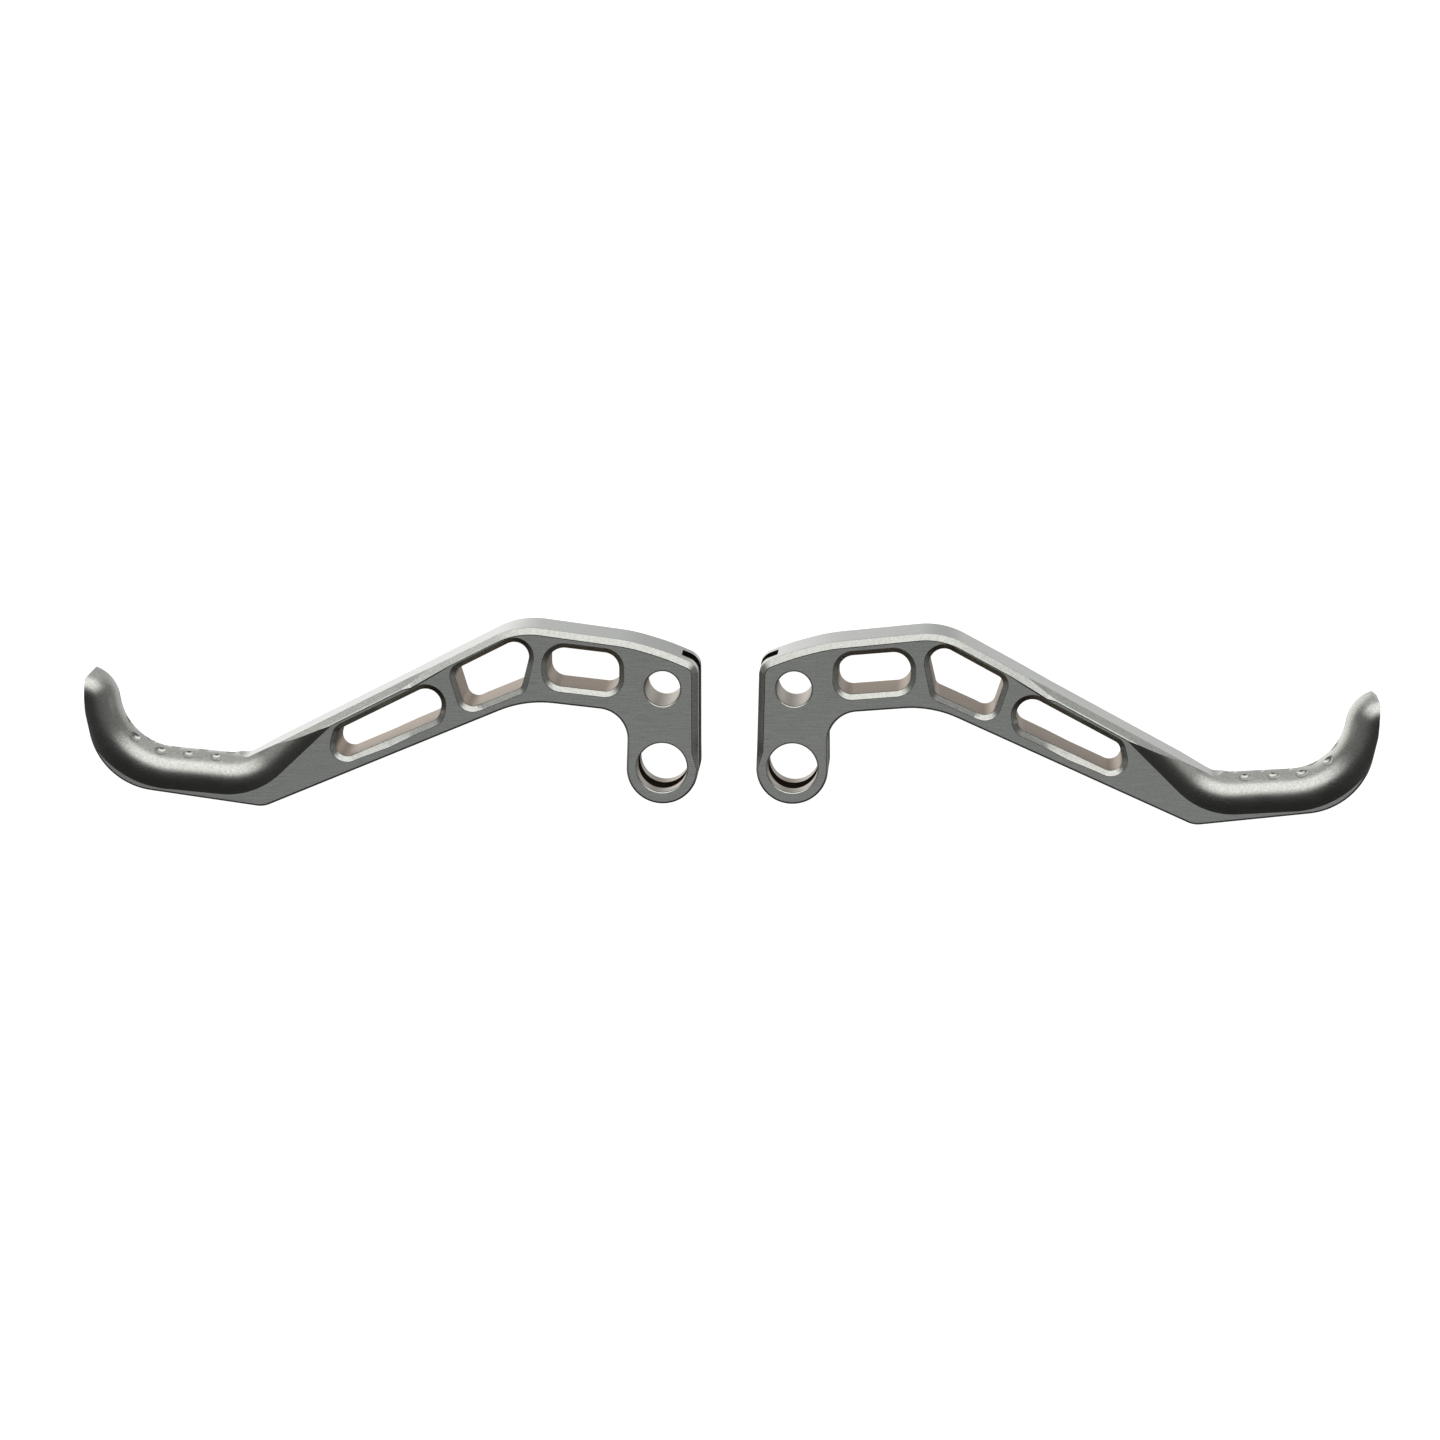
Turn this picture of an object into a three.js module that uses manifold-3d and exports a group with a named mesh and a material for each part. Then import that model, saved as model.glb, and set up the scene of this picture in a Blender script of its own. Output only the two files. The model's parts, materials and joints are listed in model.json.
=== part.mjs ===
// A pair of bare one-finger brake lever blades for a bicycle, left and right, lying flat side by side.
// Each blade is one piece of machined aluminium: a slotted pivot head, a windowed arm and a finger hook.
// Millimetres. +Z is the pivot axis of both blades, +X runs across the pair, +Y is the finger side.
import * as THREE from 'three';
import { mergeVertices } from 'three/addons/utils/BufferGeometryUtils.js';
import Module from 'manifold-3d';

const wasm = await Module();
wasm.setup();

// ---- driving dimensions -------------------------------------------------------------------------------
const THICKNESS = 11.5;           // plate that the blade is cut from
const CHAMFER = 1.0;              // 45 degree bevel of the finger edge and the head end
const WINDOW_CHAMFER = 0.8;       // bevel around the windows

const HEAD_END = 5.95;            // flat end of the head, from the pivot
const LOBE_RADIUS = 5.88;         // rounded end of the head, around the pivot bore
const PIVOT_BORE = 8.2;           // diameter; the pivot bore is at the origin of the blade
const LINK_BORE = 5.8;            // diameter of the bore for the master cylinder's push rod barrel
const LINK_BORE_AT = [0.1, 13.2];

const SLOT_GAP = 4.6;             // clevis slot between the two ears
const SLOT_INNER_X = 3.05;        // the slot runs up the head end this far from the pivot
const SLOT_TOP_Y = 6.0;           // and crosses the lobe up to this height
const SLOT_CORNER = 2.0;

const HOOK_WIDTH = 5.95;          // in-plane width of the round-over of the finger hook
const HOOK_BULGE = 1.03;          // the round-over meets the flat face at a small angle, not tangent
const HOOK_BEND_RADIUS = 9.6;     // inner side of the finger bend
const HOOK_BEND_AT = [-80.85, 11.1];
const HOOK_SLOPE = -4.35;         // degrees, direction of the straight finger rest
const TIP_RADIUS = 6.15;          // outward flare of the tip
const TIP_LEAN = 7;               // degrees short of a right angle where the bend turns into the flare
const TIP_TURN = 72;              // degrees, where the flare ends
const ARM_RUNOUT_RADIUS = 6.7;    // the round-over turns out of the arm on this radius
const ARM_RUNOUT_AT = [-71.95, 7.4];
const ARM_RUNOUT_SLOPE = 43.5;    // degrees
const ARM_RUNOUT_LENGTH = 20;
const TIP_RUNOUT_LENGTH = 5;

const DIMPLE_BALL = 1.45;         // radius of the ball that cuts a grip dimple
const DIMPLE_DEPTH = 0.45;
const DIMPLE_PITCH = 4.6;         // spacing along the hook
const DIMPLE_START = 0.6;         // first dimple of the middle row, past the arm end of the finger rest
const DIMPLES_MIDDLE_ROW = 5;
const SIDE_ROW_HEIGHT = 2.2;      // height of the two outer rows above and below the mid-plane

const PIVOT_SPACING = 21.45;      // between the two pivot bores
const PIVOT_RISE = 0.15;          // the right blade lies this much further up
const RIGHT_TURN = -1.4;          // degrees, the right blade lies turned by this much

const OVERCUT = 1.0;              // how far a cutter reaches past the faces of the plate
const PAST_NOSE = 1.7;            // how far the hook's cutter reaches past its nose line
const ARC_STEPS = 3;              // curve segments per quarter of an outline arc
const BORE_SIDES = 32;
const HOOK_STEPS = 44;            // along the hook
const HOOK_PROFILE_STEPS = 9;     // across one half of its section
const BALL_DETAIL = 3;            // subdivisions of the dimple cutter
const MERGE_DISTANCE = 1e-4;

// Section of the hook: semi-axes of its half-ellipse. EDGE_COSINE is where the ellipse meets the flat face.
const SECTION_HEIGHT = HOOK_BULGE * THICKNESS / 2;
const EDGE_COSINE = Math.sqrt(1 - 1 / HOOK_BULGE ** 2);
const SECTION_WIDTH = HOOK_WIDTH / (1 - EDGE_COSINE);

// ---- outlines: [x, y, corner radius] of each corner, anticlockwise --------------------------------------
const BLADE_OUTLINE = [
  [-6.05, -6.05, LOBE_RADIUS],            // lobe, arm side
  [HEAD_END, -6.05, LOBE_RADIUS],         // lobe, end side
  [HEAD_END, 17.05, 2.6],                 // end corner of the head
  [0.85, 19.2, 40],                       // bend of the finger edge over the head
  [-5.0, 20.95, 29],
  [-23.9, 23.45, 13],                     // shoulder between head and arm
  [-69.3, 0.25, 2.0],                     // root of the hook
  [-73.5, 1.9, 0],                        // from here to the tip the round-over makes the final edge
  [-89.3, 3.2, 6.5],                      // inner side of the finger bend
  [-89.3, 13.4, 4.0],
  [-93.6, 15.6, 0],                       // tip
  [-95.6, 13.6, 0.5],
  [-95.4, 8.4, 8],                        // outside of the finger bend
  [-93.05, -3.55, 11.8],
  [-66.0, -7.3, 4.2],                     // elbow
  [-22.5, 11.05, 18],                     // under the shoulder
  [-5.55, 9.25, 5.0],                     // neck above the lobe
];

// Everything that the bevelled edges leave standing: it shares the finger edge and the head end with
// the blade and passes well clear of its other sides.
const BEVEL_ENVELOPE = [
  [14, -20, 0],
  [HEAD_END, 2.4, 0],
  [HEAD_END, 17.05, 2.6],
  [0.85, 19.2, 40],
  [-5.0, 20.95, 29],
  [-23.9, 23.45, 13],
  [-68.4, 0.71, 0],
  [-70.5, 30, 0],
  [-110, 30, 0],
  [-110, -20, 0],
];

const WINDOWS = [
  [[-53.3, 5.8, 1.6], [-54.8, -0.1, 1.9], [-36.85, 7.8, 2.0], [-35.1, 14.95, 2.6]],
  [[-34.3, 15.8, 1.5], [-32.3, 9.25, 1.8], [-23.1, 13.1, 1.3], [-20.65, 22.8, 2.4]],
  [[-18.85, 20.1, 2.8], [-18.85, 13.6, 2.5], [-7.05, 12.3, 2.3], [-7.05, 18.75, 2.6]],
];

const SLOT_OUTLINE = [
  [-12, -12, 0],
  [12, -12, 0],
  [12, 30, 0],
  [SLOT_INNER_X, 30, 0],
  [SLOT_INNER_X, SLOT_TOP_Y, SLOT_CORNER],
  [-12, SLOT_TOP_Y, 0],
];

// ---- geometry helpers -----------------------------------------------------------------------------------
const radians = THREE.MathUtils.degToRad;

// A closed shape through the corners, each one rounded by a tangent arc of its radius.
function roundedShape(corners) {
  const shape = new THREE.Shape();
  corners.forEach(([x, y, radius], i) => {
    const corner = new THREE.Vector2(x, y);
    const [beforeX, beforeY] = corners.at(i - 1);
    const [afterX, afterY] = corners[(i + 1) % corners.length];
    const back = new THREE.Vector2(beforeX, beforeY).sub(corner).normalize();
    const ahead = new THREE.Vector2(afterX, afterY).sub(corner).normalize();
    if (radius === 0) {
      if (i === 0) shape.moveTo(x, y);
      else shape.lineTo(x, y);
      return;
    }
    const halfAngle = Math.acos(THREE.MathUtils.clamp(back.dot(ahead), -1, 1)) / 2;
    const reach = radius / Math.tan(halfAngle);
    const start = corner.clone().addScaledVector(back, reach);
    const end = corner.clone().addScaledVector(ahead, reach);
    const bisector = back.clone().add(ahead).normalize();
    const centre = corner.clone().addScaledVector(bisector, radius / Math.sin(halfAngle));
    const leftTurn = back.cross(ahead) < 0;
    if (i === 0) shape.moveTo(start.x, start.y);
    shape.absarc(
      centre.x, centre.y, radius,
      Math.atan2(start.y - centre.y, start.x - centre.x),
      Math.atan2(end.y - centre.y, end.x - centre.x),
      !leftTurn,
    );
  });
  shape.closePath();
  return shape;
}

function toSolid(geometry) {
  const bare = geometry.index ? geometry.toNonIndexed() : geometry.clone();
  bare.deleteAttribute('normal');
  bare.deleteAttribute('uv');
  const merged = mergeVertices(bare, MERGE_DISTANCE);
  return new wasm.Manifold(new wasm.Mesh({
    numProp: 3,
    vertProperties: new Float32Array(merged.attributes.position.array),
    triVerts: new Uint32Array(merged.index.array),
  }));
}

function toGeometry(solid) {
  const mesh = solid.getMesh();
  const geometry = new THREE.BufferGeometry();
  geometry.setAttribute('position', new THREE.BufferAttribute(mesh.vertProperties, 3));
  geometry.setIndex(new THREE.BufferAttribute(mesh.triVerts, 1));
  return geometry;
}

// A straight prism of the outline between two heights.
function prism(corners, low, high) {
  const geometry = new THREE.ExtrudeGeometry(roundedShape(corners), {
    depth: high - low, bevelEnabled: false, curveSegments: ARC_STEPS,
  });
  return toSolid(geometry.translate(0, 0, low));
}

function bore(diameter, [x, y]) {
  const height = THICKNESS + 2 * OVERCUT;
  const geometry = new THREE.CylinderGeometry(diameter / 2, diameter / 2, height, BORE_SIDES);
  return toSolid(geometry.rotateX(Math.PI / 2).translate(x, y, THICKNESS / 2));
}

// ---- parts of the blade ---------------------------------------------------------------------------------
function bevelEnvelope() {
  const geometry = new THREE.ExtrudeGeometry(roundedShape(BEVEL_ENVELOPE), {
    depth: THICKNESS - 2 * CHAMFER,
    bevelThickness: CHAMFER,
    bevelSize: CHAMFER,
    bevelOffset: -CHAMFER,
    bevelSegments: 1,
    curveSegments: ARC_STEPS,
  });
  return toSolid(geometry.translate(0, 0, CHAMFER));
}

// A lightening window right through, flared by its chamfer where it meets both faces.
function windowCutter(corners) {
  const flare = new THREE.ExtrudeGeometry(roundedShape(corners), {
    depth: OVERCUT,
    bevelThickness: WINDOW_CHAMFER,
    bevelSize: WINDOW_CHAMFER,
    bevelSegments: 1,
    curveSegments: ARC_STEPS,
  });
  const through = prism(corners, -OVERCUT, THICKNESS + OVERCUT);
  const upper = toSolid(flare.clone().translate(0, 0, THICKNESS));
  const lower = toSolid(flare.clone().translate(0, 0, -OVERCUT));
  return through.add(upper).add(lower);
}

function clevisSlot() {
  const middle = THICKNESS / 2;
  return prism(SLOT_OUTLINE, middle - SLOT_GAP / 2, middle + SLOT_GAP / 2);
}

// The nose line of the hook, in plan, from the tip to where it leaves the arm.
function noseLine() {
  const [bendX, bendY] = HOOK_BEND_AT;
  const [outX, outY] = ARM_RUNOUT_AT;
  const bendStart = radians(TIP_LEAN) - Math.PI;
  const tipX = bendX + (HOOK_BEND_RADIUS + TIP_RADIUS) * Math.cos(bendStart);
  const tipY = bendY + (HOOK_BEND_RADIUS + TIP_RADIUS) * Math.sin(bendStart);
  const tipAngle = radians(TIP_TURN);
  const restAngle = radians(HOOK_SLOPE - 90);
  const runoutAngle = radians(ARM_RUNOUT_SLOPE - 90);
  const runout = radians(ARM_RUNOUT_SLOPE);
  const peak = new THREE.Vector2(Math.cos(tipAngle), Math.sin(tipAngle)).multiplyScalar(TIP_RADIUS);
  const beyondTip = new THREE.Vector2(-Math.sin(tipAngle), Math.cos(tipAngle));
  const line = new THREE.Path();
  line.moveTo(
    tipX + peak.x + TIP_RUNOUT_LENGTH * beyondTip.x,
    tipY + peak.y + TIP_RUNOUT_LENGTH * beyondTip.y,
  );
  line.lineTo(tipX + peak.x, tipY + peak.y);
  line.absarc(tipX, tipY, TIP_RADIUS, tipAngle, radians(TIP_LEAN), true);
  line.absarc(bendX, bendY, HOOK_BEND_RADIUS, bendStart, restAngle, false);
  line.absarc(outX, outY, ARM_RUNOUT_RADIUS, restAngle, runoutAngle, false);
  line.lineTo(
    outX + ARM_RUNOUT_RADIUS * Math.cos(runoutAngle) + ARM_RUNOUT_LENGTH * Math.cos(runout),
    outY + ARM_RUNOUT_RADIUS * Math.sin(runoutAngle) + ARM_RUNOUT_LENGTH * Math.sin(runout),
  );
  return line;
}

class MidPlaneCurve extends THREE.Curve {
  constructor(path) {
    super();
    this.path = path;
  }

  getPoint(t, target = new THREE.Vector3()) {
    const point = this.path.getPoint(t);
    return target.set(point.x, point.y, 0);
  }
}

// Everything outside the rounded section of the hook, swept along the nose line. In the profile x is
// the height from the mid-plane and y the distance past the nose, towards the open side of the hook.
function hookRoundOver() {
  const profile = new THREE.Shape();
  const edgeAngle = Math.acos(EDGE_COSINE);
  const top = THICKNESS / 2 + OVERCUT;
  profile.moveTo(-top, -HOOK_WIDTH);
  for (let i = -HOOK_PROFILE_STEPS; i <= HOOK_PROFILE_STEPS; i++) {
    const angle = edgeAngle * i / HOOK_PROFILE_STEPS;
    profile.lineTo(SECTION_HEIGHT * Math.sin(angle), SECTION_WIDTH * (Math.cos(angle) - 1));
  }
  profile.lineTo(top, -HOOK_WIDTH);
  profile.lineTo(top, PAST_NOSE);
  profile.lineTo(-top, PAST_NOSE);
  profile.closePath();
  const geometry = new THREE.ExtrudeGeometry(profile, {
    steps: HOOK_STEPS, extrudePath: new MidPlaneCurve(noseLine()),
  });
  return toSolid(geometry.translate(0, 0, THICKNESS / 2));
}

// Grip dimples: a middle row on the nose of the hook and a staggered row on either side of it.
function dimples() {
  const line = noseLine();
  const length = line.getLength();
  const restEnd = length - ARM_RUNOUT_LENGTH - ARM_RUNOUT_RADIUS * radians(ARM_RUNOUT_SLOPE - HOOK_SLOPE);
  const sideAngle = Math.asin(SIDE_ROW_HEIGHT / SECTION_HEIGHT);
  const balls = [];
  const addBall = (distance, angle) => {
    const at = line.getPointAt(distance / length);
    const along = line.getTangentAt(distance / length);
    const inward = new THREE.Vector2(-along.y, along.x);
    const lean = Math.atan2(Math.sin(angle) / SECTION_HEIGHT, Math.cos(angle) / SECTION_WIDTH);
    const lift = DIMPLE_BALL - DIMPLE_DEPTH;
    const past = SECTION_WIDTH * (Math.cos(angle) - 1) + lift * Math.cos(lean);
    const height = THICKNESS / 2 + SECTION_HEIGHT * Math.sin(angle) + lift * Math.sin(lean);
    const ball = new THREE.IcosahedronGeometry(DIMPLE_BALL, BALL_DETAIL);
    ball.translate(at.x + past * inward.x, at.y + past * inward.y, height);
    balls.push(toSolid(ball));
  };
  for (let i = 0; i < DIMPLES_MIDDLE_ROW; i++) {
    const distance = restEnd + DIMPLE_START - i * DIMPLE_PITCH;
    addBall(distance, 0);
    if (i === DIMPLES_MIDDLE_ROW - 1) break;
    addBall(distance - DIMPLE_PITCH / 2, sideAngle);
    addBall(distance - DIMPLE_PITCH / 2, -sideAngle);
  }
  return balls;
}

function bladeGeometry() {
  const cutters = [
    hookRoundOver(),
    clevisSlot(),
    bore(PIVOT_BORE, [0, 0]),
    bore(LINK_BORE, LINK_BORE_AT),
    ...WINDOWS.map(windowCutter),
    ...dimples(),
  ];
  let blade = prism(BLADE_OUTLINE, 0, THICKNESS).intersect(bevelEnvelope());
  for (const cutter of cutters) blade = blade.subtract(cutter);
  return toGeometry(blade);
}

// ---- the pair -------------------------------------------------------------------------------------------
function aluminium() {
  return new THREE.MeshStandardMaterial({ color: 0x8c908c, metalness: 1.0, roughness: 0.38 });
}

const blade = bladeGeometry();

const leftBlade = new THREE.Mesh(blade, aluminium());
leftBlade.name = 'left_lever_blade';

const rightBlade = new THREE.Mesh(blade, aluminium());
rightBlade.name = 'right_lever_blade';
rightBlade.position.set(PIVOT_SPACING, PIVOT_RISE, 0);
rightBlade.rotation.z = radians(RIGHT_TURN);
rightBlade.scale.x = -1;

// The origin is under the middle of the pair, on the surface that the blades lie on.
const pair = new THREE.Group();
pair.add(leftBlade, rightBlade);
pair.updateMatrixWorld(true);
const box = new THREE.Box3().setFromObject(pair, true);
const middle = box.getCenter(new THREE.Vector3());
pair.position.set(-middle.x, -middle.y, -box.min.z);

export default pair;
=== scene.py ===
import json
import math

import bmesh
import bpy
from mathutils import Matrix, Vector


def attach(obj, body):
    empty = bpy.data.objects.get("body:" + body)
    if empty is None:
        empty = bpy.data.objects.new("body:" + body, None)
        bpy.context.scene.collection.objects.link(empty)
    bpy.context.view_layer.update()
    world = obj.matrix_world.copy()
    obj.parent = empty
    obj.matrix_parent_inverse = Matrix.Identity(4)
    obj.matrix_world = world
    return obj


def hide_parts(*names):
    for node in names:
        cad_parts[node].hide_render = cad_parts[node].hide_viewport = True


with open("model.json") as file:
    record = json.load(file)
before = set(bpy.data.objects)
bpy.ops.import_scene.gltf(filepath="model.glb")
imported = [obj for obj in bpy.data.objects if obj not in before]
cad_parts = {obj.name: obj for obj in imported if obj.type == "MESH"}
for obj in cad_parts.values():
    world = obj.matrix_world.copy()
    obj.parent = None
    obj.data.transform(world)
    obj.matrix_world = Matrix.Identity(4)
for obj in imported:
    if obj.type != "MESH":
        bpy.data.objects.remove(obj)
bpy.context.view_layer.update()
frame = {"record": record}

# A pair of machined aluminium brake lever blades. The fine shapes are made in millimetres in the blade's
# own frame: the pivot bore is the origin, x runs towards the end of the head and y towards the fingers.
MM = 0.001

# ---- dimensions of one blade ---------------------------------------------------------------------------
THICKNESS = 11.5
MIDDLE = THICKNESS / 2
HEAD_END = 5.95
LOBE_RADIUS = 5.88
PIVOT_BORE = 8.2
LINK_BORE = 5.8
LINK_BORE_AT = (0.1, 13.2)
SLOT_GAP = 4.6
OVERCUT = 1.0

HOOK_WIDTH = 5.95
HOOK_BULGE = 1.03
HOOK_BEND_RADIUS = 9.6
HOOK_BEND_AT = (-80.85, 11.1)
HOOK_SLOPE = math.radians(-4.35)
TIP_RADIUS = 6.15
TIP_LEAN = math.radians(7)
TIP_TURN = math.radians(72)
ARM_RUNOUT_RADIUS = 6.7
ARM_RUNOUT_AT = (-71.95, 7.4)
ARM_RUNOUT_SLOPE = math.radians(43.5)
ARM_RUNOUT_LENGTH = 20
TIP_RUNOUT_LENGTH = 5
PAST_NOSE = 1.7
SECTION_HEIGHT = HOOK_BULGE * MIDDLE
EDGE_COSINE = math.sqrt(1 - 1 / HOOK_BULGE**2)
SECTION_WIDTH = HOOK_WIDTH / (1 - EDGE_COSINE)

DIMPLE_BALL = 1.45
DIMPLE_DEPTH = 0.45
DIMPLE_PITCH = 4.6
DIMPLE_START = 0.6
DIMPLES_MIDDLE_ROW = 5
SIDE_ROW_HEIGHT = 2.2

RIGHT_TURN = math.radians(-1.4)
PIVOT_TO_MOUNT = Vector((0, -5.0, 0))

ARC_STEP = math.radians(3)        # widest turn between two points of an arc
RUN_PARTS = 10                    # parts of a straight run along which the edge section changes
REST_PARTS = 6                    # parts of the straight finger rest along the hook
PROFILE_STEPS = 26                # across one half of the hook's section
BALL_DETAIL = 5                   # subdivisions of the ball that cuts a dimple
SHARP_ANGLE = math.radians(9)
WELD = 0.002                      # points closer than this become one

# Edge sections: (distance in from the wall, depth below the flat face), from the face down to the wall.
EDGE_BREAK = ((0.34, 0.0), (0.28, 0.03), (0.06, 0.19), (0.0, 0.32))
FINGER_BEVEL = ((1.10, 0.0), (0.98, 0.03), (0.05, 0.95), (0.0, 1.08))
FINGER_BEVEL_WIDE = ((1.34, 0.0), (1.12, 0.08), (0.05, 1.10), (0.0, 1.24))
ARM_TRANSITION = ((1.62, 0.0), (1.38, 0.09), (0.77, 0.66), (0.0, 1.85))
ARM_BEVEL = ((1.20, 0.0), (1.07, 0.04), (0.88, 0.21), (0.0, 1.76))
WINDOW_BEVEL = ((0.90, 0.0), (0.82, 0.03), (0.05, 0.76), (0.0, 0.87))
WINDOW_SHALLOW = ((0.96, 0.0), (0.89, 0.02), (0.05, 0.49), (0.0, 0.58))
WINDOW_WIDE = ((1.15, 0.0), (1.07, 0.03), (0.05, 1.0), (0.0, 1.1))
BORE_BREAK = ((0.24, 0.0), (0.20, 0.02), (0.06, 0.15), (0.0, 0.28))

SHOULDER = (-23.9, 23.45)         # the finger edge's corner between head and arm
HOOK_ROOT = (-69.3, 0.25)         # and its corner between arm and hook


def arm_edge(x):
    """A point of the straight finger edge of the arm."""
    slope = (SHOULDER[1] - HOOK_ROOT[1]) / (SHOULDER[0] - HOOK_ROOT[0])
    return x, SHOULDER[1] + (x - SHOULDER[0]) * slope


# Outlines: x, y, corner radius and edge section of each corner, anticlockwise.
BLADE_OUTLINE = [
    (-6.05, -6.05, LOBE_RADIUS, EDGE_BREAK),
    (HEAD_END, -6.05, LOBE_RADIUS, EDGE_BREAK),
    (HEAD_END, -0.1, 0, EDGE_BREAK),
    (HEAD_END, 2.6, 0, FINGER_BEVEL),
    (HEAD_END, 17.05, 2.6, FINGER_BEVEL),
    (0.85, 19.2, 40, FINGER_BEVEL),
    (-5.0, 20.95, 29, FINGER_BEVEL),
    (*SHOULDER, 13, FINGER_BEVEL),
    (*arm_edge(-35.5), 0, FINGER_BEVEL),
    (*arm_edge(-38.0), 0, FINGER_BEVEL_WIDE),
    (*arm_edge(-41.9), 0, ARM_TRANSITION),
    (*arm_edge(-43.2), 0, ARM_BEVEL),
    (*HOOK_ROOT, 2.0, ARM_BEVEL),
    (-73.5, 1.9, 0, EDGE_BREAK),
    (-89.3, 3.2, 6.5, EDGE_BREAK),
    (-89.3, 13.4, 4.0, EDGE_BREAK),
    (-93.6, 15.6, 0, EDGE_BREAK),
    (-95.6, 13.6, 0.5, EDGE_BREAK),
    (-95.4, 8.4, 8, EDGE_BREAK),
    (-93.05, -3.55, 11.8, EDGE_BREAK),
    (-66.0, -7.3, 4.2, EDGE_BREAK),
    (-22.5, 11.05, 18, EDGE_BREAK),
    (-5.55, 9.25, 5.0, EDGE_BREAK),
]

WINDOWS = [
    [
        (-53.3, 5.8, 1.6, WINDOW_BEVEL),
        (-54.8, -0.1, 1.9, WINDOW_BEVEL),
        (-50.2, 1.9, 0, WINDOW_BEVEL),
        (-45.4, 4.0, 0, WINDOW_WIDE),
        (-41.4, 5.8, 0, WINDOW_SHALLOW),
        (-36.85, 7.8, 2.0, WINDOW_SHALLOW),
        (-35.1, 14.95, 2.6, WINDOW_BEVEL),
    ],
    [
        (-34.3, 15.8, 1.5, WINDOW_BEVEL),
        (-32.3, 9.25, 1.8, WINDOW_BEVEL),
        (-29.6, 10.38, 0, WINDOW_SHALLOW),
        (-23.1, 13.1, 1.3, WINDOW_SHALLOW),
        (-20.65, 22.8, 2.4, WINDOW_BEVEL),
    ],
    [
        (-18.85, 20.1, 2.8, WINDOW_BEVEL),
        (-18.85, 13.6, 2.5, WINDOW_BEVEL),
        (-7.05, 12.3, 2.3, WINDOW_BEVEL),
        (-7.05, 18.75, 2.6, WINDOW_BEVEL),
    ],
]

SLOT_OUTLINE = [
    (-12, -12, 0, None),
    (12, -12, 0, None),
    (12, 30, 0, None),
    (3.05, 30, 0, None),
    (3.05, 6.0, 2.0, None),
    (-12, 6.0, 0, None),
]


# ---- outlines and solids ---------------------------------------------------------------------------------
def arc(centre, radius, start, turn):
    """Points of an arc, both ends included."""
    steps = max(2, math.ceil(abs(turn) / ARC_STEP))
    return [
        centre + radius * Vector((math.cos(start + turn * i / steps), math.sin(start + turn * i / steps)))
        for i in range(steps + 1)
    ]


def blend_sections(first, second, share):
    return tuple(
        tuple(a + (b - a) * share for a, b in zip(one, other)) for one, other in zip(first, second)
    )


def rounded_outline(corners):
    """Points and their edge sections along a closed outline with rounded corners."""
    stretches = []
    for i, (x, y, radius, section) in enumerate(corners):
        corner = Vector((x, y))
        back = (Vector(corners[i - 1][:2]) - corner).normalized()
        ahead = (Vector(corners[(i + 1) % len(corners)][:2]) - corner).normalized()
        if radius == 0:
            stretches.append(([corner], section))
            continue
        half_angle = math.acos(max(-1.0, min(1.0, back.dot(ahead)))) / 2
        centre = corner + (back + ahead).normalized() * (radius / math.sin(half_angle))
        start = corner + back * (radius / math.tan(half_angle)) - centre
        turn = math.pi - 2 * half_angle
        if back.cross(ahead) > 0:
            turn = -turn
        stretches.append((arc(centre, radius, math.atan2(start.y, start.x), turn), section))
    points, sections = [], []
    for i, (stretch, section) in enumerate(stretches):
        points += stretch
        sections += [section] * len(stretch)
        following, next_section = stretches[(i + 1) % len(stretches)]
        if next_section is section:
            continue
        for part in range(1, RUN_PARTS):
            share = part / RUN_PARTS
            points.append(stretch[-1].lerp(following[0], share))
            sections.append(blend_sections(section, next_section, share))
    return points, sections


def outward_normals(points):
    """Mitred outward direction at each point of an anticlockwise outline."""
    normals = []
    for i, point in enumerate(points):
        before = (point - points[i - 1]).normalized()
        after = (points[(i + 1) % len(points)] - point).normalized()
        first = Vector((before.y, -before.x))
        second = Vector((after.y, -after.x))
        normals.append((first + second) / (1 + first.dot(second)))
    return normals


def ring(points, normals, offsets, heights):
    return [
        (p.x + n.x * offset, p.y + n.y * offset, z)
        for p, n, offset, z in zip(points, normals, offsets, heights)
    ]


def loft(name, rings):
    """A closed solid through rings of points, lowest ring first."""
    count = len(rings[0])
    faces = [tuple(reversed(range(count)))]
    for level in range(len(rings) - 1):
        low = level * count
        for i in range(count):
            j = (i + 1) % count
            faces.append((low + i, low + j, low + count + j, low + count + i))
    top = (len(rings) - 1) * count
    faces.append(tuple(range(top, top + count)))
    mesh = bpy.data.meshes.new(name)
    mesh.from_pydata([point for one in rings for point in one], [], faces)
    return bpy.data.objects.new(name, mesh)


def plate(name, corners):
    """The plate, with its edge sections cut off along both faces."""
    points, sections = rounded_outline(corners)
    normals = outward_normals(points)
    levels = range(len(sections[0]))
    insets = [[-s[k][0] for s in sections] for k in levels]
    depths = [[s[k][1] for s in sections] for k in levels]
    lower = [ring(points, normals, insets[k], depths[k]) for k in levels]
    upper = [ring(points, normals, insets[k], [THICKNESS - d for d in depths[k]]) for k in reversed(levels)]
    return loft(name, lower + upper)


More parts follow.
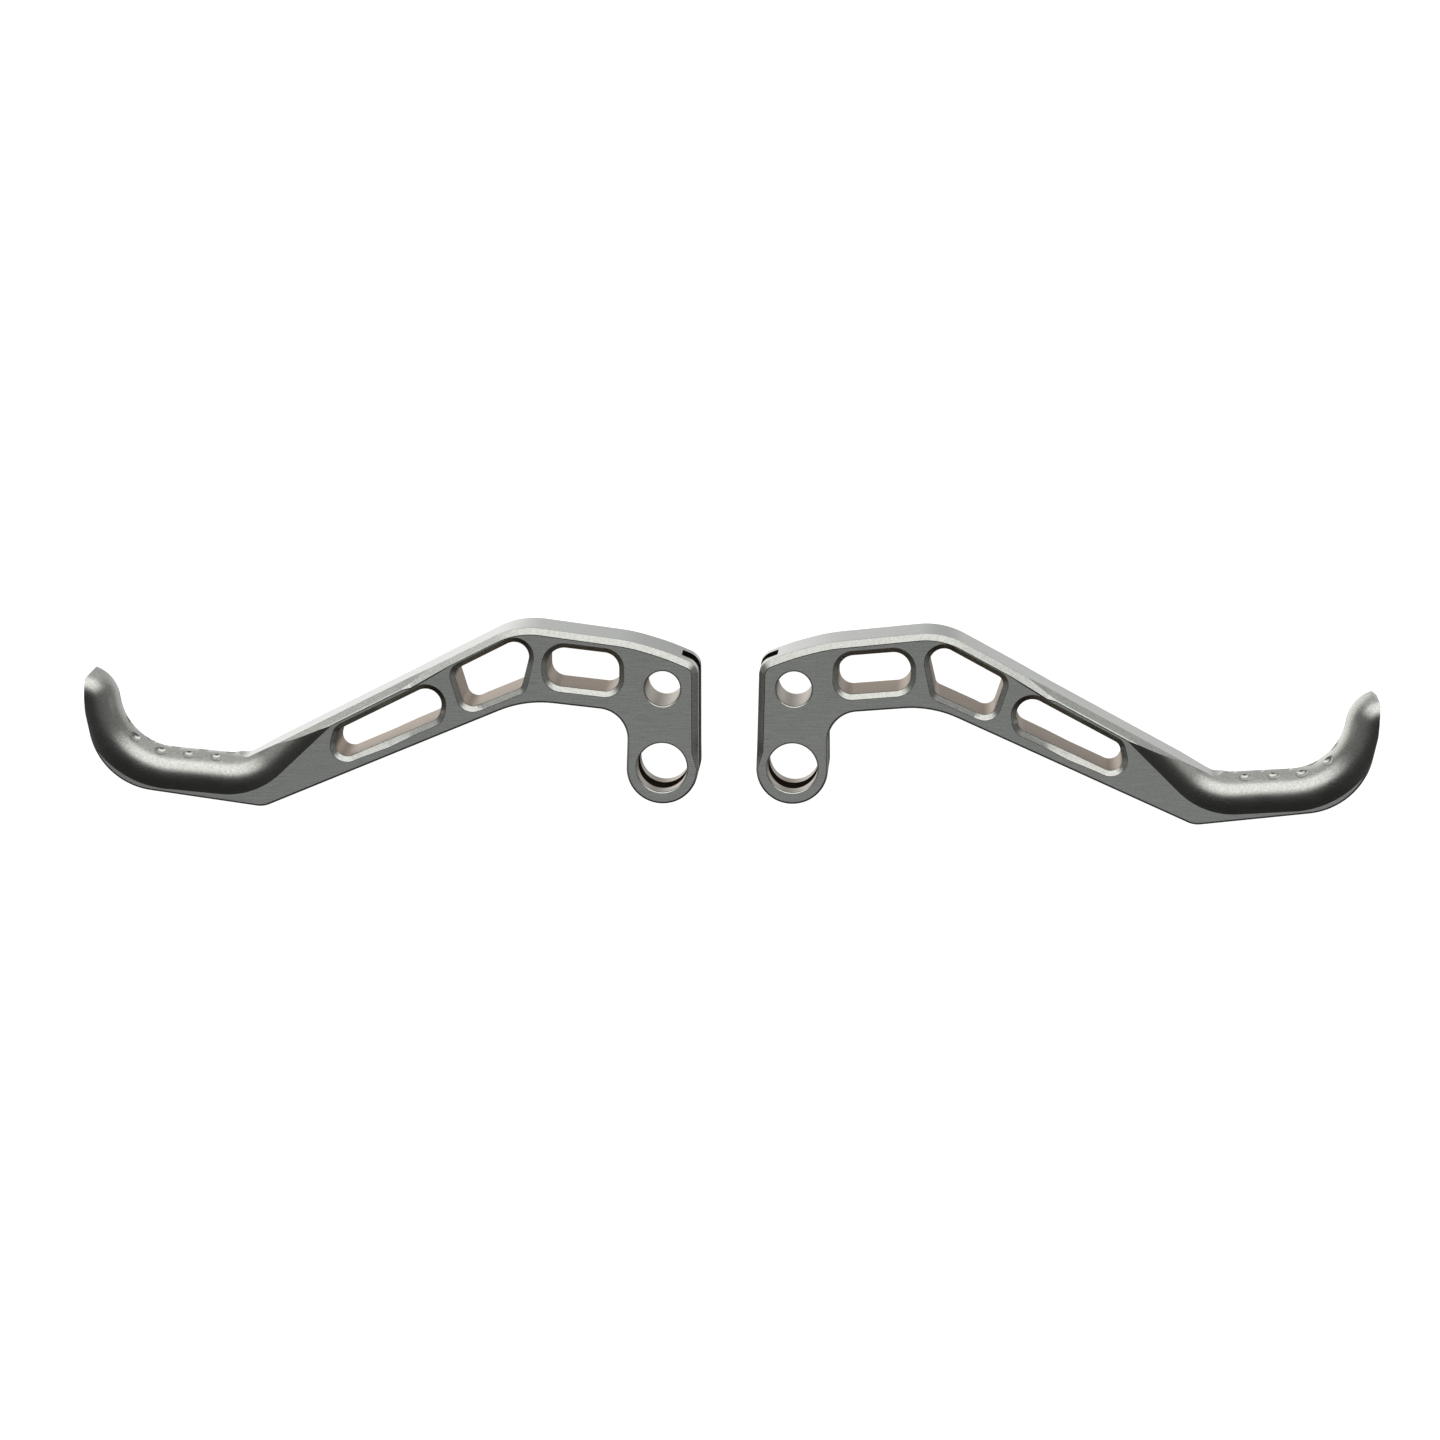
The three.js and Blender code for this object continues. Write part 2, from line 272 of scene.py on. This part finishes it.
def opening(name, corners=None, points=None, section=None):
    """A cutter right through the plate that flares by its edge sections at both faces."""
    if corners:
        points, sections = rounded_outline(corners)
    else:
        sections = [section] * len(points)
    normals = outward_normals(points)
    levels = range(len(sections[0]))
    flares = [[s[k][0] for s in sections] for k in levels]
    depths = [[s[k][1] for s in sections] for k in levels]
    lower = [ring(points, normals, flares[k], depths[k]) for k in levels]
    upper = [ring(points, normals, flares[k], [THICKNESS - d for d in depths[k]]) for k in reversed(levels)]
    below = ring(points, normals, flares[0], [-OVERCUT] * len(points))
    above = ring(points, normals, flares[0], [THICKNESS + OVERCUT] * len(points))
    return loft(name, [below, *lower, *upper, above])


def bore(name, diameter, at):
    circle = arc(Vector(at), diameter / 2, 0, 2 * math.pi)[:-1]
    return opening(name, points=circle, section=BORE_BREAK)


def clevis_slot():
    points, _ = rounded_outline(SLOT_OUTLINE)
    rings = [[(p.x, p.y, MIDDLE + side * SLOT_GAP / 2) for p in points] for side in (-1, 1)]
    return loft("clevis_slot", rings)


def nose_line():
    """The nose of the hook in plan, from beyond the tip to where it leaves the arm."""
    bend_start = TIP_LEAN - math.pi
    to_tip = Vector((math.cos(bend_start), math.sin(bend_start)))
    tip_centre = Vector(HOOK_BEND_AT) + to_tip * (HOOK_BEND_RADIUS + TIP_RADIUS)
    rest_start = HOOK_SLOPE - math.pi / 2
    tip_arc = arc(tip_centre, TIP_RADIUS, TIP_TURN, TIP_LEAN - TIP_TURN)
    bend_arc = arc(Vector(HOOK_BEND_AT), HOOK_BEND_RADIUS, bend_start, rest_start - bend_start)
    runout_arc = arc(Vector(ARM_RUNOUT_AT), ARM_RUNOUT_RADIUS, rest_start, ARM_RUNOUT_SLOPE - HOOK_SLOPE)
    beyond = Vector((-math.sin(TIP_TURN), math.cos(TIP_TURN))) * TIP_RUNOUT_LENGTH
    runout = Vector((math.cos(ARM_RUNOUT_SLOPE), math.sin(ARM_RUNOUT_SLOPE))) * ARM_RUNOUT_LENGTH
    rest = [bend_arc[-1].lerp(runout_arc[0], i / REST_PARTS) for i in range(1, REST_PARTS)]
    return [tip_arc[0] + beyond, *tip_arc, *bend_arc[1:], *rest, *runout_arc, runout_arc[-1] + runout]


def across(line):
    """Unit direction from the nose line towards the open side of the hook, at each of its points."""
    directions = []
    for i, point in enumerate(line):
        before = (point - line[i - 1]).normalized() if i else None
        after = (line[i + 1] - point).normalized() if i < len(line) - 1 else None
        along = ((before or after) + (after or before)).normalized()
        directions.append(Vector((-along.y, along.x)))
    return directions


def hook_section(angle):
    """Height over the mid-plane and distance past the nose line of a point of the rounded section."""
    return SECTION_HEIGHT * math.sin(angle), SECTION_WIDTH * (math.cos(angle) - 1)


def hook_round_over():
    """Everything outside the rounded section of the hook, swept along the nose line."""
    edge_angle = math.acos(EDGE_COSINE)
    top = MIDDLE + OVERCUT
    profile = [(-top, -HOOK_WIDTH)]
    for i in range(-PROFILE_STEPS, PROFILE_STEPS + 1):
        profile.append(hook_section(edge_angle * i / PROFILE_STEPS))
    profile += [(top, -HOOK_WIDTH), (top, PAST_NOSE), (-top, PAST_NOSE)]
    profile.reverse()
    line = nose_line()
    rings = [
        [(p.x + d.x * past, p.y + d.y * past, MIDDLE + height) for height, past in profile]
        for p, d in zip(line, across(line))
    ]
    return loft("hook_round_over", rings)


def walk(line, distance):
    """Point and direction at a distance along a line of points."""
    for a, b in zip(line, line[1:]):
        length = (b - a).length
        if distance <= length:
            return a.lerp(b, distance / length), (b - a).normalized()
        distance -= length
    return line[-1], (line[-1] - line[-2]).normalized()


def ball(at, radius):
    bpy.ops.mesh.primitive_ico_sphere_add(subdivisions=BALL_DETAIL, radius=radius, location=(0, 0, 0))
    made = bpy.context.active_object
    made.data.transform(Matrix.Translation(at))
    bpy.context.scene.collection.objects.unlink(made)
    return made


def dimples():
    """Grip dimples: a middle row on the nose of the hook and a staggered row on either side of it."""
    line = nose_line()
    length = sum((b - a).length for a, b in zip(line, line[1:]))
    runout_arc_length = ARM_RUNOUT_RADIUS * (ARM_RUNOUT_SLOPE - HOOK_SLOPE)
    rest_end = length - ARM_RUNOUT_LENGTH - runout_arc_length
    side = math.asin(SIDE_ROW_HEIGHT / SECTION_HEIGHT)
    lift = DIMPLE_BALL - DIMPLE_DEPTH
    balls = []
    for i in range(2 * DIMPLES_MIDDLE_ROW - 1):
        at, along = walk(line, rest_end + DIMPLE_START - i * DIMPLE_PITCH / 2)
        for angle in ((0,) if i % 2 == 0 else (-side, side)):
            height, past = hook_section(angle)
            lean = math.atan2(math.sin(angle) / SECTION_HEIGHT, math.cos(angle) / SECTION_WIDTH)
            past += lift * math.cos(lean)
            height += lift * math.sin(lean)
            centre = (at.x - along.y * past, at.y + along.x * past, MIDDLE + height)
            balls.append(ball(centre, DIMPLE_BALL))
    return balls


def weld(mesh):
    """Join points that the cuts left almost together, and turn every face into triangles."""
    edited = bmesh.new()
    edited.from_mesh(mesh)
    bmesh.ops.remove_doubles(edited, verts=edited.verts, dist=WELD)
    bmesh.ops.dissolve_degenerate(edited, edges=edited.edges, dist=WELD)
    bmesh.ops.triangulate(edited, faces=edited.faces)
    edited.to_mesh(mesh)
    edited.free()


def cut(blade, cutters):
    """The blade's mesh with every cutter taken out of it."""
    collection = bpy.context.scene.collection
    collection.objects.link(blade)
    for cutter in cutters:
        collection.objects.link(cutter)
        modifier = blade.modifiers.new(cutter.name, "BOOLEAN")
        modifier.operation = "DIFFERENCE"
        modifier.solver = "MANIFOLD"
        modifier.object = cutter
    bpy.context.view_layer.update()
    depsgraph = bpy.context.evaluated_depsgraph_get()
    mesh = bpy.data.meshes.new_from_object(blade.evaluated_get(depsgraph))
    for used in [blade, *cutters]:
        bpy.data.objects.remove(used)
    weld(mesh)
    return mesh


def blade_mesh():
    cutters = [
        hook_round_over(),
        clevis_slot(),
        bore("pivot_bore", PIVOT_BORE, (0, 0)),
        bore("link_bore", LINK_BORE, LINK_BORE_AT),
        *[opening(f"window_{i}", corners) for i, corners in enumerate(WINDOWS)],
        *dimples(),
    ]
    mesh = cut(plate("plate", BLADE_OUTLINE), cutters)
    mark_milled_and_shaded_walls(mesh, rounded_outline(BLADE_OUTLINE)[0])
    return mesh


# ---- material ------------------------------------------------------------------------------------------
METAL_COLOUR = (0.545, 0.565, 0.535, 1)
SLOPE_PAINTED_HIGHLIGHT_COLOUR = (0.560, 0.568, 0.528, 1)   # slightly warmer on bevels and rounded surfaces: painted highlight tint, the warm colour of the light these surfaces catch
# Brown on the walls of the windows and bores and on the slot's faces: painted warm reflection and shade.
RECESS_PAINTED_REFLECTION_COLOUR = (0.34, 0.26, 0.185, 1)
METAL_ROUGHNESS = 0.23

# How much each pattern adds to the tone, to the roughness and to the height of the bump.
MOTTLE_TONE = 0.08
BRUSHED_TONE = 0.13
LINED_TONE = 0.07
BLOTCH_TONE = 0.035
RUBBED_TONE = 0.08
SPECKLE_TONE = 0.09
SLOT_PAINTED_SHADE = -0.75                      # painted shade: darkens the faces of the deep narrow slot
BLOTCH_ROUGHNESS = 0.015
MILLED_ROUGHNESS = 0.14
MOTTLE_HEIGHT = 0.12
LINED_HEIGHT = 0.9
SCRATCHED_HEIGHT = 0.25
BUMP_HEIGHT = 1.8e-6                   # metres, for a height of 1

# Grains: cycles per metre along x, y and z, and octaves.
MOTTLE = ((2300, 3100, 2600), 2.0)
BRUSHING = ((260, 4600, 4600), 3.0)
CUTTER_LINES = ((90, 90, 3600), 2.0)
BLOTCHES = ((260, 330, 300), 3.0)
SCRATCHES = ((160, 9000, 9000), 1.0)
NOISE_ROUGHNESS = 0.6
NOISE_LOW = 0.25
NOISE_HIGH = 0.75

# How upright a normal is where a surface begins to count as a flat face, and where it fully is one.
FACE_FROM = 0.9
FACE_TO = 0.99
WALL_FROM = 0.35                       # and the same for a wall
WALL_TO = 0.1
RUBBED_FROM = 0.6                      # and the pointiness of the edges that are rubbed bright
RUBBED_TO = 0.8

MILLED_AND_SHADED = "milled_and_shaded"                      # mesh attribute for the walls of the windows and bores and for the slot: their rougher finish and their painted warm reflection and shade
IN_SLOT = 2.0
ON_WINDOW_WALL = 1.0
ON_BORE_WALL = 0.7                     # a bore's wall has part of the roughness and of the painted reflection and shade of a window's wall
ELSEWHERE = 0.0
WALL_CLEARANCE = 0.35                  # a wall of a window or a bore is further than this from the outline
WINDOW_MARGIN = 1.0                    # a window's wall is less than this outside their corners in x
SLOT_MARGIN = 0.01                     # a face of the slot is less than this outside its gap


def node(tree, kind, inputs=None, **settings):
    made = tree.nodes.new(kind)
    for name, value in settings.items():
        setattr(made, name, value)
    for name, value in (inputs or {}).items():
        socket = made.inputs[name]
        if isinstance(value, bpy.types.NodeSocket):
            tree.links.new(value, socket)
        else:
            socket.default_value = value
    return made


def ramp(tree, value, start, end, low=0.0, high=1.0):
    """Low at the start value, high at the end value and straight in between."""
    limits = {"From Min": start, "From Max": end, "To Min": low, "To Max": high}
    return node(tree, "ShaderNodeMapRange", {"Value": value, **limits}).outputs["Result"]


def grain(tree, position, cycles, detail):
    """Noise from -1 to 1 with its own number of cycles per metre along each axis."""
    stretched = vector_maths(tree, "MULTIPLY", position, cycles)
    settings = {"Vector": stretched, "Scale": 1.0, "Detail": detail, "Roughness": NOISE_ROUGHNESS}
    noise = node(tree, "ShaderNodeTexNoise", settings).outputs["Fac"]
    return ramp(tree, noise, NOISE_LOW, NOISE_HIGH, -1, 1)


def calculate(tree, operation, first, second=0.0, third=0.0):
    return node(tree, "ShaderNodeMath", {0: first, 1: second, 2: third}, operation=operation).outputs[0]


def weigh(tree, start, *terms):
    """A start value plus each term's value times its weight."""
    total = start
    for value, weight in terms:
        total = calculate(tree, "MULTIPLY_ADD", value, weight, total)
    return total


def vector_maths(tree, operation, first, second):
    return node(tree, "ShaderNodeVectorMath", {0: first, 1: second}, operation=operation).outputs[0]


def scale(tree, vector, factor):
    return node(tree, "ShaderNodeVectorMath", {0: vector, "Scale": factor}, operation="SCALE").outputs[0]


def mix_colours(tree, share, first, second):
    return node(tree, "ShaderNodeMix", {"Factor": share, 6: first, 7: second}, data_type="RGBA").outputs[2]


def aluminium():
    """Satin machined aluminium: brushed faces, walls cut by an end mill with painted warm reflection and
    shade, painted shade in the clevis gap, painted highlight tint on bevels, mottled tone, rubbed edges.
    """
    material = bpy.data.materials.new("satin_machined_aluminium")
    material.use_nodes = True
    tree = material.node_tree
    shader = tree.nodes["Principled BSDF"]
    shader.inputs["Metallic"].default_value = 1.0

    position = node(tree, "ShaderNodeTexCoord").outputs["Object"]
    surface = node(tree, "ShaderNodeNewGeometry").outputs
    upright = node(tree, "ShaderNodeSeparateXYZ", {"Vector": surface["True Normal"]}).outputs["Z"]
    lying = calculate(tree, "ABSOLUTE", upright)
    face = ramp(tree, lying, FACE_FROM, FACE_TO)
    wall = ramp(tree, lying, WALL_FROM, WALL_TO)
    slope = calculate(tree, "SUBTRACT", calculate(tree, "SUBTRACT", 1.0, face), wall)
    milled_and_shaded = node(tree, "ShaderNodeAttribute", attribute_name=MILLED_AND_SHADED).outputs["Fac"]
    # The slot's faces get 1 here: painted shade that darkens their tone.
    slot_shade = calculate(tree, "MAXIMUM", calculate(tree, "SUBTRACT", milled_and_shaded, ON_WINDOW_WALL), 0.0)
    rubbed = ramp(tree, surface["Pointiness"], RUBBED_FROM, RUBBED_TO)

    mottle = grain(tree, position, *MOTTLE)
    blotches = grain(tree, position, *BLOTCHES)
    speckle = calculate(tree, "MULTIPLY", mottle, slope)
    brushed = calculate(tree, "MULTIPLY", grain(tree, position, *BRUSHING), face)
    scratched = calculate(tree, "MULTIPLY", grain(tree, position, *SCRATCHES), face)
    lined = calculate(tree, "MULTIPLY", grain(tree, position, *CUTTER_LINES), wall)

    tone = weigh(
        tree, 1.0, (mottle, MOTTLE_TONE), (brushed, BRUSHED_TONE), (lined, LINED_TONE),
        (blotches, BLOTCH_TONE), (rubbed, RUBBED_TONE), (speckle, SPECKLE_TONE), (slot_shade, SLOT_PAINTED_SHADE),
    )
    # Bevels and rounded surfaces take a warmer colour: painted highlight tint.
    metal = mix_colours(tree, slope, METAL_COLOUR, SLOPE_PAINTED_HIGHLIGHT_COLOUR)
    # The walls of the windows and bores and the slot's faces take the brown: painted warm reflection and
    # shade.
    metal = mix_colours(tree, milled_and_shaded, metal, RECESS_PAINTED_REFLECTION_COLOUR)
    tree.links.new(scale(tree, metal, tone), shader.inputs["Base Color"])

    roughness = weigh(tree, METAL_ROUGHNESS, (blotches, BLOTCH_ROUGHNESS), (milled_and_shaded, MILLED_ROUGHNESS))
    tree.links.new(roughness, shader.inputs["Roughness"])

    height = weigh(
        tree, brushed, (mottle, MOTTLE_HEIGHT), (lined, LINED_HEIGHT), (scratched, SCRATCHED_HEIGHT),
    )
    bump = node(tree, "ShaderNodeBump", {"Height": height, "Strength": 1.0, "Distance": BUMP_HEIGHT})
    tree.links.new(bump.outputs["Normal"], shader.inputs["Normal"])
    return material


def distance_to(outline, point):
    """Distance of a point from a closed outline."""
    distances = []
    for a, b in zip(outline, outline[1:] + outline[:1]):
        share = (point - a).dot(b - a) / (b - a).length_squared
        distances.append((a.lerp(b, max(0.0, min(1.0, share))) - point).length)
    return min(distances)


def milled_and_shaded_share(polygon, outline):
    """How far a face of the blade takes the rough finish and the painted warm reflection and shade of a
    window's wall.
    """
    at = polygon.center
    lying = abs(polygon.normal.z)
    if lying > FACE_FROM and abs(at.z - MIDDLE) < SLOT_GAP / 2 + SLOT_MARGIN:
        return IN_SLOT
    windows_start = WINDOWS[0][1][0] - WINDOW_MARGIN
    windows_end = WINDOWS[-1][-1][0] + WINDOW_MARGIN
    if lying >= WALL_FROM or at.x <= windows_start or distance_to(outline, at.to_2d()) <= WALL_CLEARANCE:
        return ELSEWHERE
    return ON_WINDOW_WALL if at.x < windows_end else ON_BORE_WALL


# Stores for each face its share of the rough finish and of the painted warm reflection and shade.
def mark_milled_and_shaded_walls(mesh, outline):
    shares = [milled_and_shaded_share(polygon, outline) for polygon in mesh.polygons]
    mesh.attributes.new(MILLED_AND_SHADED, "FLOAT", "FACE").data.foreach_set("value", shares)


# ---- the pair ------------------------------------------------------------------------------------------
def pivot_in_row(hand, turn):
    """The blade's pivot in the row frame, in millimetres, from its mount beside the pivot bore."""
    name = f"{hand}_pivot_ear_upper"
    mount = next(m for m in frame["record"]["mounts"] if m["name"] == name)
    at = Vector(mount["pos_m"]) / MM
    pivot = at - Matrix.Rotation(turn, 3, "Z") @ PIVOT_TO_MOUNT
    return Vector((pivot.x, pivot.y, 0))


def place_blade(hand, mesh, placing, material):
    node_name = f"{hand}_lever_blade"
    placed = mesh.copy()
    placed.name = f"{hand}_blade_fine"
    placed.transform(Matrix.Scale(MM, 4) @ placing)
    if placing.determinant() < 0:
        placed.flip_normals()
    placed.polygons.foreach_set("use_smooth", [True] * len(placed.polygons))
    placed.set_sharp_from_angle(angle=SHARP_ANGLE)
    placed.materials.clear()
    placed.materials.append(material)
    piece = bpy.data.objects.new(f"{hand}_blade_fine", placed)
    bpy.context.scene.collection.objects.link(piece)
    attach(piece, "root")
    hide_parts(node_name)


def build_pair():
    mesh = blade_mesh()
    material = aluminium()
    left_pivot = pivot_in_row("left", 0)
    right_pivot = pivot_in_row("right", RIGHT_TURN)
    turned = Matrix.Translation(right_pivot) @ Matrix.Rotation(RIGHT_TURN, 4, "Z")
    mirrored = turned @ Matrix.Diagonal((-1, 1, 1, 1))
    place_blade("left", mesh, Matrix.Translation(left_pivot), material)
    place_blade("right", mesh, mirrored, material)
    bpy.data.meshes.remove(mesh)
    return left_pivot


# ---- floor, light and camera -----------------------------------------------------------------------------
CAMERA_TILT = math.radians(11.15)      # off the plates' normal, towards the finger side
CAMERA_YAW = math.radians(2.87)        # towards the right blade
CAMERA_DISTANCE = 830
CAMERA_LENS = 126.6
CAMERA_SENSOR = 36
CAMERA_NEAR = 0.01                     # metres
CAMERA_FAR = 50
AIM_FROM_PIVOT = Vector((9.553, 8.099, THICKNESS))


def make_camera(left_pivot):
    data = bpy.data.cameras.new("camera")
    data.sensor_width = CAMERA_SENSOR
    data.lens = CAMERA_LENS
    data.clip_start = CAMERA_NEAR
    data.clip_end = CAMERA_FAR
    camera = bpy.data.objects.new("camera", data)
    back = Vector((
        math.sin(CAMERA_YAW) * math.cos(CAMERA_TILT),
        math.sin(CAMERA_TILT),
        math.cos(CAMERA_YAW) * math.cos(CAMERA_TILT),
    ))
    right = Vector((0, 1, 0)).cross(back).normalized()
    up = back.cross(right)
    at = (left_pivot + AIM_FROM_PIVOT + back * CAMERA_DISTANCE) * MM
    turned = Matrix((right, up, back)).transposed().to_4x4()
    camera.matrix_world = Matrix.Translation(at) @ turned
    bpy.context.scene.collection.objects.link(camera)
    bpy.context.scene.camera = camera


# Radiance over the angle from straight up, in degrees: on the finger side, and on the other sides.
FINGER_SIDE_LIGHT = (
    (0, 0.02), (47, 0.02), (56, 1.4), (80, 1.45), (87, 0.62), (150, 0.55), (180, 0.5),
)
SIDE_LIGHT = (
    (0, 0.02), (40, 0.05), (55, 0.16), (75, 0.2), (110, 0.27), (125, 0.5), (150, 0.66), (180, 0.8),
)
SOFTBOX_OUTER = 66                     # degrees from the finger side
SOFTBOX_INNER = 20
SHADE_OUTER = 85                       # degrees from the darker side, away from the fingers
SHADE_INNER = 40
SHADE_DEPTH = 0.78
BOUNCE_FROM = (-0.62, 0.22, -0.76)     # light bounced from below the left blade
BOUNCE_OUTER = 45
BOUNCE_INNER = 15
BOUNCE_COLOUR = (0.56, 0.55, 0.54)
TOP_FROM = (0.0, -0.42, 0.91)          # the softbox over the blades
TOP_DISTANCE = 2.0                     # metres
TOP_SIZE = (1.2, 1.5)
TOP_RADIANCE = 0.37
STRAIGHT_DOWN = 180                    # degrees from straight up
FLOOR_REACH = 6.0                      # metres
FLOOR_COLOUR = (0.8, 0.8, 0.8, 1)
FLOOR_ROUGHNESS = 0.9
WHITE = (1, 1, 1, 1)


def polar_ramp(tree, share, stops):
    """A colour over the angle from straight up, from stops of (degrees, radiance)."""
    colours = node(tree, "ShaderNodeValToRGB", {"Fac": share})
    elements = colours.color_ramp.elements
    while len(elements) < len(stops):
        elements.new(0.5)
    for element, (angle, radiance) in zip(elements, stops):
        element.position = angle / STRAIGHT_DOWN
        element.color = (radiance, radiance, radiance, 1)
    return colours.outputs["Color"]


def smooth_lobe(tree, direction, towards, outer, inner):
    """1 within the inner angle of a direction, falling smoothly to 0 at the outer angle."""
    axis = Vector(towards).normalized()
    cosine = node(tree, "ShaderNodeVectorMath", {0: direction, 1: axis}, operation="DOT_PRODUCT")
    span = {
        "Value": cosine.outputs["Value"],
        "From Min": math.cos(math.radians(outer)),
        "From Max": math.cos(math.radians(inner)),
    }
    return node(tree, "ShaderNodeMapRange", span, interpolation_type="SMOOTHSTEP").outputs["Result"]


def make_world():
    """Light of a dark studio with a long softbox on the finger side. The camera itself sees white."""
    world = bpy.data.worlds.new("studio")
    world.use_nodes = True
    bpy.context.scene.world = world
    tree = world.node_tree
    tree.nodes.clear()
    direction = node(tree, "ShaderNodeTexCoord").outputs["Generated"]
    up = node(tree, "ShaderNodeSeparateXYZ", {"Vector": direction}).outputs["Z"]
    share = calculate(tree, "DIVIDE", calculate(tree, "ARCCOSINE", up), math.pi)
    sides = polar_ramp(tree, share, SIDE_LIGHT)
    front = polar_ramp(tree, share, FINGER_SIDE_LIGHT)
    level = vector_maths(tree, "MULTIPLY", direction, (1, 1, 0))
    heading = node(tree, "ShaderNodeVectorMath", {0: level}, operation="NORMALIZE").outputs[0]
    facing = smooth_lobe(tree, heading, (0, 1, 0), SOFTBOX_OUTER, SOFTBOX_INNER)
    behind = smooth_lobe(tree, heading, (0, -1, 0), SHADE_OUTER, SHADE_INNER)
    sides = scale(tree, sides, calculate(tree, "MULTIPLY_ADD", behind, -SHADE_DEPTH, 1.0))
    around = mix_colours(tree, facing, sides, front)
    patch = smooth_lobe(tree, direction, BOUNCE_FROM, BOUNCE_OUTER, BOUNCE_INNER)
    total = vector_maths(tree, "ADD", around, scale(tree, BOUNCE_COLOUR, patch))
    lit = node(tree, "ShaderNodeBackground", {"Color": total})
    seen = node(tree, "ShaderNodeBackground", {"Color": WHITE})
    path = node(tree, "ShaderNodeLightPath").outputs["Is Camera Ray"]
    mix = node(tree, "ShaderNodeMixShader", {0: path, 1: lit.outputs[0], 2: seen.outputs[0]})
    node(tree, "ShaderNodeOutputWorld", {"Surface": mix.outputs[0]})


def make_floor():
    mesh = bpy.data.meshes.new("floor")
    corners = [(x * FLOOR_REACH, y * FLOOR_REACH, 0) for x, y in ((-1, -1), (1, -1), (1, 1), (-1, 1))]
    mesh.from_pydata(corners, [], [tuple(range(len(corners)))])
    floor = bpy.data.objects.new("floor", mesh)
    material = bpy.data.materials.new("pale_floor")
    material.use_nodes = True
    shader = material.node_tree.nodes["Principled BSDF"]
    shader.inputs["Base Color"].default_value = FLOOR_COLOUR
    shader.inputs["Roughness"].default_value = FLOOR_ROUGHNESS
    shader.inputs["Specular IOR Level"].default_value = 0.0
    shader.inputs["Emission Color"].default_value = WHITE
    shader.inputs["Emission Strength"].default_value = 1.0
    mesh.materials.append(material)
    floor.visible_glossy = False
    bpy.context.scene.collection.objects.link(floor)


def make_softbox():
    """A softbox over the blades, which the flat faces reflect to the camera."""
    width, height = TOP_SIZE
    data = bpy.data.lights.new("top_softbox", "AREA")
    data.shape = "RECTANGLE"
    data.size = width
    data.size_y = height
    data.energy = TOP_RADIANCE * width * height * math.pi
    light = bpy.data.objects.new("top_softbox", data)
    towards = Vector(TOP_FROM).normalized()
    facing = towards.to_track_quat("Z", "Y").to_matrix().to_4x4()
    light.matrix_world = Matrix.Translation(towards * TOP_DISTANCE) @ facing
    light.visible_camera = False
    bpy.context.scene.collection.objects.link(light)


left_pivot = build_pair()
make_camera(left_pivot)
make_world()
make_softbox()
make_floor()
bpy.context.scene.view_settings.view_transform = "Standard"
